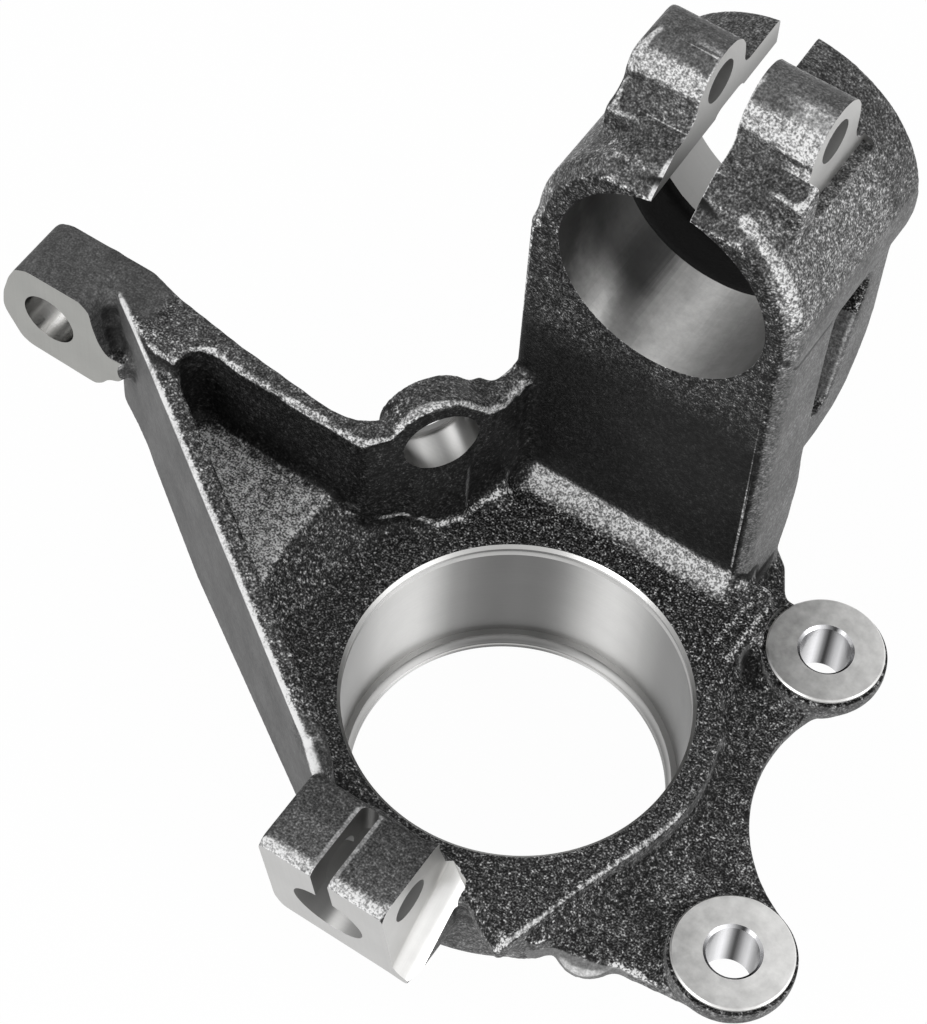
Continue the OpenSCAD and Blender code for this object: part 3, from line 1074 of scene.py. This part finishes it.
    def painted_edge_light(self, tone: Wire) -> Wire:
        """Paints shade into concave corners, and highlights on raised edges that face the light and
        on the strut bore's mouth.

        Args:
            tone: The tone so far.

        Returns:
            The new tone.
        """
        _, y, z = self.sheet.parts
        proud = self.sheet.node("Attribute", {"attribute_name": "proud"}, {}, "Fac")
        lit = self.sheet.faces((0.1, -0.7, 0.707)).ramp(0.71, 0.84)
        foot = self.inside(self.foot)
        # Painted shade in concave corners, kept off the foot's painted highlight.
        tone = self.toned(tone, self.crease_shade, proud.ramp(-0.10, -0.32) * 0.75 * (1 - foot))
        # Painted highlights on raised edges and cut edges that face the light.
        tone = self.toned(tone, self.edge_highlight, proud.ramp(0.18, 0.36) * lit * 0.85)
        # Painted highlight on the lower part of the strut bore's mouth.
        mouth = proud.ramp(0.40, 0.44) * z.ramp(97 * MM, 90 * MM) * y.ramp(48 * MM, 50 * MM)
        return self.toned(tone, self.mouth, mouth)

    def relief_shadow_mask(self) -> Wire:
        """Marks the cast relief between the strut seats, where no light reaches, for its painted
        shadow.

        Returns:
            1 in the relief and 0 outside.
        """
        x, y, z = self.sheet.parts
        across = self.sheet.node("CombineXYZ", {}, {0: x, 1: 0.0, 2: z})
        gap = self.sheet.distance((STRUT_X, 0, STRUT_Z), across)
        inner = gap.ramp((self.relief + 0.5) * MM, self.relief * MM)
        return inner * y.ramp(57 * MM, 60 * MM) * y.ramp(97 * MM, 95 * MM)

    def build(self) -> bpy.types.Material:
        """Makes the material.

        Returns:
            The cast skin.
        """
        fine = self.sheet.noise(self.grain, 1, 0.5)
        coarse = self.sheet.noise(self.grain * 2.6, 2, 0.6)
        cloud = self.sheet.noise(12, 2, 0.6)
        grain = ((fine - 0.5) * 0.85 + (coarse - 0.5) * 0.65) / 0.115
        # Sides are painted lighter than tops, and are less grainy.
        upright = self.sheet.faces((0, 0, 1)).math("ABSOLUTE").ramp(0.5, 0.2)
        tone = self.toned(math.log(self.level), self.wall, upright)
        grit = self.grit - upright * (self.grit - 0.55)
        for patch in self.patches:
            mask = self.inside(patch)
            tone = self.toned(tone, patch.level, mask)
            grit = grit + (patch.grit - grit) * mask
        relief_shadow_mask = self.relief_shadow_mask()
        tone = self.painted_edge_light(tone)
        # Painted highlight lines, each with its own grain.
        for painted_line in self.painted_highlight_lines:
            mask = self.line(painted_line)
            tone = self.toned(tone, painted_line.level, mask * 0.9)
            grit = grit * (1 - mask * (1 - painted_line.grit))
        # Painted shadow in the relief, without grain.
        tone = self.toned(tone, self.relief_shadow_level, relief_shadow_mask)
        grit = grit * (1 - relief_shadow_mask)
        level = (tone + grain * grit + (cloud - 0.5) * 1.2).math("EXPONENT").math("MINIMUM", 0.75)
        normal = self.sheet.bump(coarse * 0.6 + fine * 0.4, 0.3, 0.6)
        rough = 0.42 + fine * 0.25
        self.sheet.shade(self.sheet.grey(level), rough, 0.0, normal, Specular_IOR_Level=0.14)
        return self.sheet.owner


@dataclass(frozen=True)
class Metal:
    """Bare machined iron with the marks of its tool, and painted reflection bands that follow how
    far it faces one direction.
    """

    finish: Finish
    stops: Tuple[Tuple[float, float], ...]
    rough: float
    # The camera's right direction, which the painted reflection bands follow
    facing: Point = (0.8304, 0.5554, 0.0445)
    centres: Tuple[Point, ...] = ()
    metallic: float = 1.0
    axis: str = "Z"
    pitch: float = 0.5
    tint: Tuple[float, float, float] = (1, 0.995, 0.98)

    @cached_property
    def sheet(self) -> Sheet:
        """Makes the material and gives its nodes."""
        return Sheet.of(self.finish.value)

    def nearest(self) -> Wire:
        """Gives the distance to the nearest of the centres, in metres."""
        gaps = [self.sheet.distance(centre) for centre in self.centres]
        return reduce(lambda first, second: first.math("MINIMUM", second), gaps)

    def marks(self) -> Wire:
        """Gives the lines that the tool left.

        Returns:
            The lines, from 0 to 1.
        """
        along = self.nearest() if self.centres else self.sheet.parts["XYZ".index(self.axis)]
        line = self.sheet.node("CombineXYZ", {}, {0: along, 1: 0.0, 2: 0.0})
        return self.sheet.noise(self.pitch, 2, 0.7, line)

    def turn(self) -> Wire:
        """Gives how far the metal faces the direction that its painted reflection bands follow,
        from -1 to 1.
        """
        return self.sheet.faces(self.facing)

    def graded(self, level: Wire) -> Wire:
        """Changes the level with the place, which plain metal doesn't."""
        return level

    def build(self) -> bpy.types.Material:
        """Makes the material.

        Returns:
            The machined metal.
        """
        lines = self.marks()
        cloud = self.sheet.noise(9, 3, 0.55)
        fine = self.sheet.noise(0.5, 2, 0.6)
        # Painted reflection: bright and dark bands by how far the metal faces its direction.
        painted_reflection = self.sheet.curve(self.turn(), self.stops)
        level = self.graded(painted_reflection) * (0.80 + cloud * 0.22 + lines * 0.12 + fine * 0.06)
        normal = self.sheet.bump(lines * 0.8 + fine * 0.2, 0.03, 0.6)
        colour = self.sheet.grey(level, self.tint)
        self.sheet.shade(colour, self.rough + cloud * 0.12, self.metallic, normal)
        return self.sheet.owner


@dataclass(frozen=True)
class StrutMetal(Metal):
    """The strut seat, with painted shade that darkens its left towards the relief."""

    def turn(self) -> Wire:
        """Lets the painted bright and dark reflection bands drift to the left with depth, with
        uneven edges.

        Returns:
            The turn, from -1 to 1.
        """
        plain = super().turn()
        drift = self.sheet.parts[1].ramp(52 * MM, 78 * MM) * plain.ramp(0.05, 0.5) * 0.26
        return plain - drift + (self.sheet.noise(7, 3, 0.6) - 0.5) * 0.16

    def graded(self, level: Wire) -> Wire:
        """Paints shade on the left of the bore, darker with depth, and dulls the far land.

        Args:
            level: The level so far.

        Returns:
            The new level.
        """
        depth = self.sheet.parts[1]
        left = self.sheet.faces((1, 0, 0)).ramp(0.2, 0.45)
        # Painted shade on the left, growing with depth.
        near = level * (1 - depth.ramp(57 * MM, 71 * MM) * left * 0.88)
        far = depth.ramp(90 * MM, 94 * MM)
        return near * (1 - far) * (0.75 + self.sheet.noise(2.2, 3, 0.7) * 0.5) + far * 0.42


@dataclass(frozen=True)
class SeatMetal(Metal):
    """The bearing seat, whose ledge and groove sides get a painted highlight."""

    def graded(self, level: Wire) -> Wire:
        """Paints a highlight on the faces that look up."""
        return level + (0.45 - level) * self.sheet.faces((0, 0, 1)).math("ABSOLUTE").ramp(0.3, 0.6)


@dataclass(frozen=True)
class SlitMetal(Metal):
    """The walls of the strut slot, in painted shade further down."""

    def graded(self, level: Wire) -> Wire:
        """Paints shade on the walls, darker further down."""
        return level * (self.sheet.parts[2].ramp(114 * MM, 140 * MM) * 0.7 + 0.3)


@dataclass(frozen=True)
class EarMetal(Metal):
    """The ear faces, the far one, which lies further across, in painted shade."""

    across: Point = (0.83, 0.557, 0)
    middle: float = 47.3
    apart: float = 25.5
    radius: float = 14

    def graded(self, level: Wire) -> Wire:
        """Paints each face lighter to the right, paints shade on the far one and a highlight round
        their rims.

        Args:
            level: The level so far.

        Returns:
            The new level.
        """
        far = self.sheet.parts[1].ramp(0, 40 * MM)
        along = self.sheet.dot(self.sheet.place, self.across) / MM
        side = (along - self.middle - far * self.apart) / self.radius
        inner = self.nearest().ramp((self.radius + 0.4) * MM, (self.radius - 0.4) * MM)
        cloud = self.sheet.noise(3.5, 3, 0.6) - 0.5
        # Painted light to the right, painted shade on the far face and a painted highlight on the
        # rims; the cloud is an uneven tone.
        return level * (1 - far * 0.19 + side * 0.26 + cloud * 0.7) + (1 - inner) * 0.3


class Finishes:
    """All the finishes, each built once."""

    @staticmethod
    def build() -> None:
        """Makes the materials in the order of the slots."""
        # Levels of each metal's painted reflection bands, by how far it faces its direction.
        seat = (
            (-0.97, 0.17), (-0.85, 0.26), (-0.75, 0.47), (-0.57, 0.7), (-0.3, 0.25), (0, 0.155),
            (0.25, 0.2), (0.38, 0.36), (0.55, 0.7), (0.78, 0.6), (0.87, 0.42), (0.97, 0.35),
        )
        strut = (
            (-0.97, 0.02), (-0.85, 0.13), (-0.7, 0.19), (-0.45, 0.33), (-0.25, 0.57),
            (-0.05, 0.78), (0.12, 0.58), (0.22, 0.4), (0.31, 0.28), (0.42, 0.42), (0.54, 0.86),
            (0.68, 0.48), (0.85, 0.11), (1, 0.03),
        )
        hole = (
            (-0.95, 0.2), (-0.8, 0.6), (-0.7, 0.66), (-0.5, 0.34), (-0.33, 0.07), (-0.2, 0.09),
            (-0.05, 0.4), (0.15, 0.9), (0.3, 0.95), (0.45, 0.75), (0.65, 0.5), (0.8, 0.3),
        )
        sensor = (
            (-0.96, 0.05), (-0.85, 0.39), (-0.65, 0.6), (-0.5, 0.82), (-0.25, 0.38),
            (-0.05, 0.4), (0.25, 0.61), (0.45, 0.4), (0.6, 0.22), (0.8, 0.15),
        )
        taper = (
            (-0.65, 0.42), (-0.35, 0.5), (-0.15, 0.55), (-0.05, 0.66), (0.05, 0.92), (0.17, 1),
            (0.35, 0.95), (0.5, 0.72), (0.65, 0.53), (0.85, 0.47), (1, 0.39),
        )
        stud = (
            (-0.75, 0.35), (-0.4, 0.5), (-0.25, 0.75), (-0.08, 0.95), (0.08, 0.8), (0.2, 0.4),
            (0.35, 0.24), (0.6, 0.22), (1, 0.22),
        )
        flat = (
            (-1, 0.5), (-0.3, 0.5), (-0.12, 0.53), (0, 0.58), (0.15, 0.75), (0.35, 0.88),
            (0.6, 0.84), (1, 0.7),
        )
        # Plain levels; the eye face's is lower, partly for its duller milling and partly as painted
        # shade.
        slit, faced, eye, deep, sawn = (
            ((-1, level), (1, level)) for level in (0.75, 0.58, 0.37, 0.3, 0.2)
        )
        ears = tuple((x, y, 0) for x, y in EARS)
        right = (1, 0, 0)
        CastSkin().build()
        SeatMetal(Finish.SEAT, seat, 0.26, pitch=0.7).build()
        StrutMetal(Finish.STRUT, strut, 0.4, right, metallic=0.25, axis="Y", pitch=0.8).build()
        EarMetal(Finish.FACED, faced, 0.34, (0, 0, 1), ears, pitch=0.8).build()
        Metal(Finish.MILLED, flat, 0.36, (0, 0, 1), axis="X", pitch=0.9).build()
        SlitMetal(Finish.SLIT, slit, 0.4, axis="Y", pitch=0.9).build()
        Metal(Finish.EYE, eye, 0.42, axis="X", pitch=0.9, tint=(1, 1, 0.96)).build()
        Metal(Finish.DRILLED, hole, 0.2, pitch=0.6, tint=(0.98, 0.98, 1)).build()
        Metal(Finish.DEEP, deep, 0.5, metallic=0.5, axis="X", pitch=0.6).build()
        Metal(Finish.SAWN, sawn, 0.4, axis="Y", pitch=0.8).build()
        Metal(Finish.REAMED, sensor, 0.26, axis="Y", pitch=0.6).build()
        Metal(Finish.TAPER, taper, 0.1, right, axis="Y", pitch=0.6).build()
        Metal(Finish.STUD, stud, 0.45, right, metallic=0.15, axis="Y", pitch=0.6).build()


@dataclass
class Knuckle:
    """The whole knuckle as one dressed piece."""

    casting: Casting
    machining: Machining
    crests: Crests

    def build(self) -> Thing:
        """Makes the knuckle and hands it to the frame.

        Returns:
            The finished piece.
        """
        piece = self.casting.build(frame["nodes"]["knuckle"])
        piece.data.materials.clear()
        piece.data.materials.append(bpy.data.materials[Finish.CAST.value])
        tree, proud = self.crests.measure(piece)
        self.machining.cut(piece)
        self.crests.mark(piece, tree, proud)
        Bench.pick(piece)
        bpy.ops.object.shade_smooth_by_angle(angle=math.radians(38))
        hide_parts("knuckle")
        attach(piece, "root")
        return piece


@dataclass
class Studio:
    """The pale floor, the soft lamps and the camera."""

    glow: float = 0.6
    floor_z: float = -44.4
    lens: float = 114.16
    sensor: float = 36
    at: Point = (0.17538251, -0.33677774, 0.65150567)
    right: Point = (0.8303787131511909, 0.5554199576924875, 0.04449565531877457)
    down: Point = (0.4850680964614054, -0.6812788782737311, -0.548240852010679)
    ahead: Point = (-0.2741899606854354, 0.476830956015821, -0.8351359798525971)

    @staticmethod
    def seen(sheet: Sheet) -> Wire:
        """Marks the rays that show the background, straight or in metal, with 1."""
        straight = sheet.node("LightPath", {}, {}, "Is Camera Ray")
        return straight.math("MAXIMUM", sheet.node("LightPath", {}, {}, "Is Glossy Ray"))

    def floor(self) -> None:
        """Lays the white floor under the knuckle."""
        bpy.ops.object.select_all(action="DESELECT")
        bpy.ops.mesh.primitive_plane_add(size=12, location=(0, 0, self.floor_z * MM))
        floor = Bench.settle("floor")
        sheet = Sheet.of("floor_paper")
        paper = sheet.node("BsdfDiffuse", {}, {"Color": (0.95, 0.95, 0.95, 1)})
        white = sheet.node("Emission", {}, {"Color": (1, 1, 1, 1), "Strength": 1.0})
        sheet.end(sheet.node("MixShader", {}, {0: self.seen(sheet) * 0.975, 1: paper, 2: white}))
        floor.data.materials.append(sheet.owner)

    def sky(self) -> None:
        """Fills the room with plain white light."""
        world = bpy.data.worlds.new("room")
        bpy.context.scene.world = world
        sheet = Sheet(world, "OutputWorld")
        level = self.seen(sheet) * (1 - self.glow) + self.glow
        sheet.end(sheet.node("Background", {}, {"Color": (1, 1, 1, 1), "Strength": level}))

    def lamp(self, name: str, place: Point, size: float, power: float) -> None:
        """Hangs one soft lamp that looks at the knuckle.

        Args:
            name: The lamp's name.
            place: Where it hangs, in metres.
            size: The length of its side, in metres.
            power: Its power in watts.
        """
        bpy.ops.object.light_add(type="AREA", location=place)
        lamp = bpy.context.object
        lamp.name = name
        lamp.data.shape = "SQUARE"
        lamp.data.size = size
        lamp.data.energy = power
        lamp.rotation_euler = (-Vector(place)).to_track_quat("-Z", "Y").to_euler()

    def camera(self) -> None:
        """Sets the camera where the photograph was taken from."""
        turn = Matrix((self.right, -Vector(self.down), -Vector(self.ahead))).transposed()
        data = bpy.data.cameras.new("camera")
        data.lens = self.lens
        data.sensor_width = self.sensor
        data.clip_start = 0.05
        camera = bpy.data.objects.new("camera", data)
        camera.matrix_world = Matrix.Translation(self.at) @ turn.to_4x4()
        bpy.context.scene.collection.objects.link(camera)
        bpy.context.scene.camera = camera

    def build(self) -> None:
        """Sets up the whole studio."""
        self.floor()
        self.sky()
        self.lamp("front_box", (-0.35, -1.25, 0.62), 0.7, 10)
        self.lamp("right_box", (1.2, 0.1, 0.7), 0.8, 5)
        self.camera()
        bpy.context.scene.view_settings.view_transform = "Standard"


def main() -> None:
    """Builds the knuckle and the studio."""
    logging.basicConfig(level=logging.INFO, format="%(relativeCreated)d %(message)s")
    Finishes.build()
    piece = Knuckle(Casting(), Machining(), Crests()).build()
    LOG.info("knuckle: %d faces", len(piece.data.polygons))
    Studio().build()


if __name__ == "__main__":
    main()
